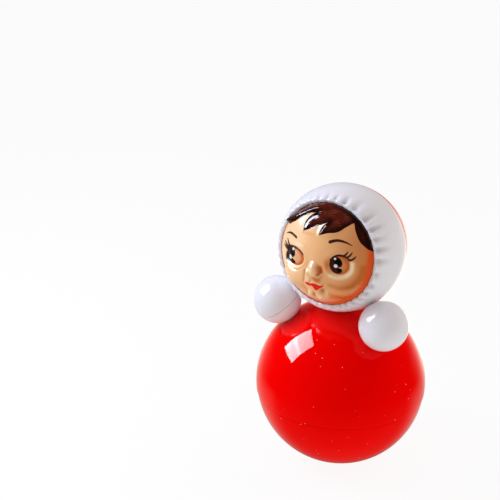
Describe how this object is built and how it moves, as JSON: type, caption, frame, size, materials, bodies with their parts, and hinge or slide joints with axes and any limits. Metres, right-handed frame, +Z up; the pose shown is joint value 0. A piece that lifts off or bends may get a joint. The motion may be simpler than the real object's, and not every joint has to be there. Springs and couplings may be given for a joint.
{
  "type": "roly poly toy",
  "caption": "Weighted ball-bodied tumbler doll with a gathered hood, moulded face, ball mittens and a rod chime inside; it rocks and rights itself.",
  "frame": {"origin": "middle of the small flat under the ball body, on the body's axis, where the doll stands", "axes": "+Z up, the doll faces -Y, +X to the doll's left"},
  "size_m": [0.096, 0.096, 0.1644],
  "materials": {
    "red_plastic": "glossy moulded polystyrene",
    "white_plastic": "glossy moulded polystyrene",
    "face_plastic": "glossy flesh-coloured plastic with painted hair, eyes and lips",
    "ballast_iron": "rough sand-cast",
    "plate_plastic": "natural moulded plastic",
    "link_plastic": "natural moulded plastic",
    "steel": "drawn bright steel",
    "zinc_strip": "yellow zinc-plated strip",
    "brass": "turned brass"
  },
  "bodies": {
    "doll": {"body_lower_shell": "red_plastic", "body_upper_shell": "red_plastic", "ballast_weight": "ballast_iron", "ballast_screws": "steel", "chime_plate": "plate_plastic", "chime_rod_1": "steel", "chime_rod_2": "steel", "chime_rod_3": "steel", "chime_rod_4": "steel", "chime_bridge": "zinc_strip", "bridge_screws": "steel", "bridge_pin": "steel", "hood": "white_plastic", "head_back_cap": "red_plastic", "face": "face_plastic", "mitten_outer_left": "white_plastic", "mitten_inner_left": "white_plastic", "mitten_clip_left": "steel", "mitten_outer_right": "white_plastic", "mitten_inner_right": "white_plastic", "mitten_clip_right": "steel"},
    "link": {"swing_link": "link_plastic", "clapper_pin": "steel"},
    "clapper": {"clapper_stem": "steel", "clapper_ball": "brass"}
  },
  "joints": [
    {"name": "link_swing", "type": "hinge", "parent": "doll", "child": "link", "pos_m": [0, 0, 0.06788], "axis": [1, 0, 0], "range_deg": [-16, 16]},
    {"name": "clapper_swing", "type": "hinge", "parent": "link", "child": "clapper", "pos_m": [0, 0, 0.05988], "axis": [0, 1, 0], "range_deg": [-22, 22]}
  ]
}
